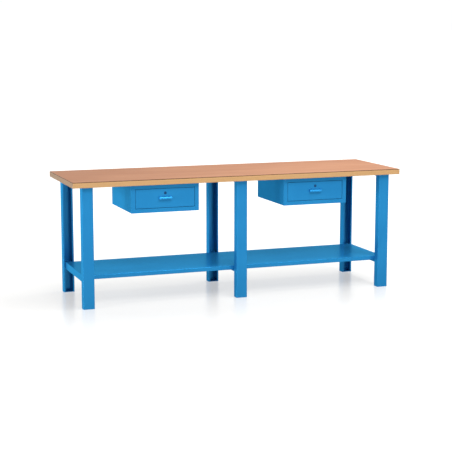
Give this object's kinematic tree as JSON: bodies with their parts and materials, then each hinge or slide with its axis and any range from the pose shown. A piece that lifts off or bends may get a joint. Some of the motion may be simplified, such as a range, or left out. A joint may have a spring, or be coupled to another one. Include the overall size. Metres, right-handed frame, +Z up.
{
  "type": "workbench with drawers",
  "caption": "Steel workbench in blue paint with a thick wooden worktop, channel legs, a lower shelf and two lockable drawer units hung under the top.",
  "frame": {"origin": "on the floor under the middle of the worktop", "axes": "+X along the bench to the right as seen from the front, -Y towards the front where the drawers open, +Z up"},
  "size_m": [2.5, 0.75, 0.9],
  "materials": {
    "core_wood": "satin",
    "facing_board": "satin",
    "blue_paint": "gloss",
    "zinc_steel": "satin",
    "lock_enamel": "satin"
  },
  "bodies": {
    "frame": {"worktop_core": "core_wood", "worktop_facing": "facing_board", "worktop_screws": "zinc_steel", "leg_left_front": "blue_paint", "leg_left_rear": "blue_paint", "crossbar_lower_left": "blue_paint", "crossbar_upper_left": "blue_paint", "leg_middle_front": "blue_paint", "leg_middle_rear": "blue_paint", "crossbar_lower_middle": "blue_paint", "crossbar_upper_middle": "blue_paint", "leg_right_front": "blue_paint", "leg_right_rear": "blue_paint", "crossbar_lower_right": "blue_paint", "crossbar_upper_right": "blue_paint", "foot_plates": "blue_paint", "shelf_left": "blue_paint", "shelf_right": "blue_paint", "shelf_studs": "zinc_steel", "shelf_nuts": "zinc_steel", "left_case_shell": "blue_paint", "left_case_front": "blue_paint", "left_case_back": "blue_paint", "left_case_screws": "zinc_steel", "left_slide_fixed_left": "zinc_steel", "left_slide_fixed_right": "zinc_steel", "right_case_shell": "blue_paint", "right_case_front": "blue_paint", "right_case_back": "blue_paint", "right_case_screws": "zinc_steel", "right_slide_fixed_left": "zinc_steel", "right_slide_fixed_right": "zinc_steel"},
    "left_drawer": {"left_drawer_tray": "blue_paint", "left_drawer_front": "blue_paint", "left_handle": "blue_paint", "left_drawer_screws": "zinc_steel", "left_lock_barrel": "lock_enamel", "left_lock_nut": "lock_enamel", "left_slide_moving_left": "zinc_steel", "left_slide_moving_right": "zinc_steel"},
    "left_slide_middle": {"left_slide_middle_left": "zinc_steel", "left_slide_middle_right": "zinc_steel"},
    "left_cages_outer": {"left_ball_cages_outer": "zinc_steel"},
    "left_cages_inner": {"left_ball_cages_inner": "zinc_steel"},
    "left_lock": {"left_lock_plug": "lock_enamel", "left_lock_cam": "lock_enamel"},
    "right_drawer": {"right_drawer_tray": "blue_paint", "right_drawer_front": "blue_paint", "right_handle": "blue_paint", "right_drawer_screws": "zinc_steel", "right_lock_barrel": "lock_enamel", "right_lock_nut": "lock_enamel", "right_slide_moving_left": "zinc_steel", "right_slide_moving_right": "zinc_steel"},
    "right_slide_middle": {"right_slide_middle_left": "zinc_steel", "right_slide_middle_right": "zinc_steel"},
    "right_cages_outer": {"right_ball_cages_outer": "zinc_steel"},
    "right_cages_inner": {"right_ball_cages_inner": "zinc_steel"},
    "right_lock": {"right_lock_plug": "lock_enamel", "right_lock_cam": "lock_enamel"}
  },
  "joints": [
    {"name": "left_drawer_slide", "type": "slide", "parent": "frame", "child": "left_drawer", "axis": [0, -1, 0], "range_m": [0, 0.44]},
    {"name": "left_middle_slide", "type": "slide", "parent": "frame", "child": "left_slide_middle", "axis": [0, -1, 0], "range_m": [0, 0.22]},
    {"name": "left_outer_cage_slide", "type": "slide", "parent": "frame", "child": "left_cages_outer", "axis": [0, -1, 0], "range_m": [0, 0.11]},
    {"name": "left_inner_cage_slide", "type": "slide", "parent": "frame", "child": "left_cages_inner", "axis": [0, -1, 0], "range_m": [0, 0.33]},
    {"name": "left_lock_turn", "type": "hinge", "parent": "left_drawer", "child": "left_lock", "pos_m": [-0.577, -0.335, 0.7965], "axis": [0, -1, 0], "range_deg": [0, 90]},
    {"name": "right_drawer_slide", "type": "slide", "parent": "frame", "child": "right_drawer", "axis": [0, -1, 0], "range_m": [0, 0.44]},
    {"name": "right_middle_slide", "type": "slide", "parent": "frame", "child": "right_slide_middle", "axis": [0, -1, 0], "range_m": [0, 0.22]},
    {"name": "right_outer_cage_slide", "type": "slide", "parent": "frame", "child": "right_cages_outer", "axis": [0, -1, 0], "range_m": [0, 0.11]},
    {"name": "right_inner_cage_slide", "type": "slide", "parent": "frame", "child": "right_cages_inner", "axis": [0, -1, 0], "range_m": [0, 0.33]},
    {"name": "right_lock_turn", "type": "hinge", "parent": "right_drawer", "child": "right_lock", "pos_m": [0.577, -0.335, 0.7965], "axis": [0, -1, 0], "range_deg": [0, 90]}
  ],
  "couplings": [
    {"joint": "left_middle_slide", "follows": "left_drawer_slide", "ratio": 0.5},
    {"joint": "left_outer_cage_slide", "follows": "left_drawer_slide", "ratio": 0.25},
    {"joint": "left_inner_cage_slide", "follows": "left_drawer_slide", "ratio": 0.75},
    {"joint": "right_middle_slide", "follows": "right_drawer_slide", "ratio": 0.5},
    {"joint": "right_outer_cage_slide", "follows": "right_drawer_slide", "ratio": 0.25},
    {"joint": "right_inner_cage_slide", "follows": "right_drawer_slide", "ratio": 0.75}
  ]
}
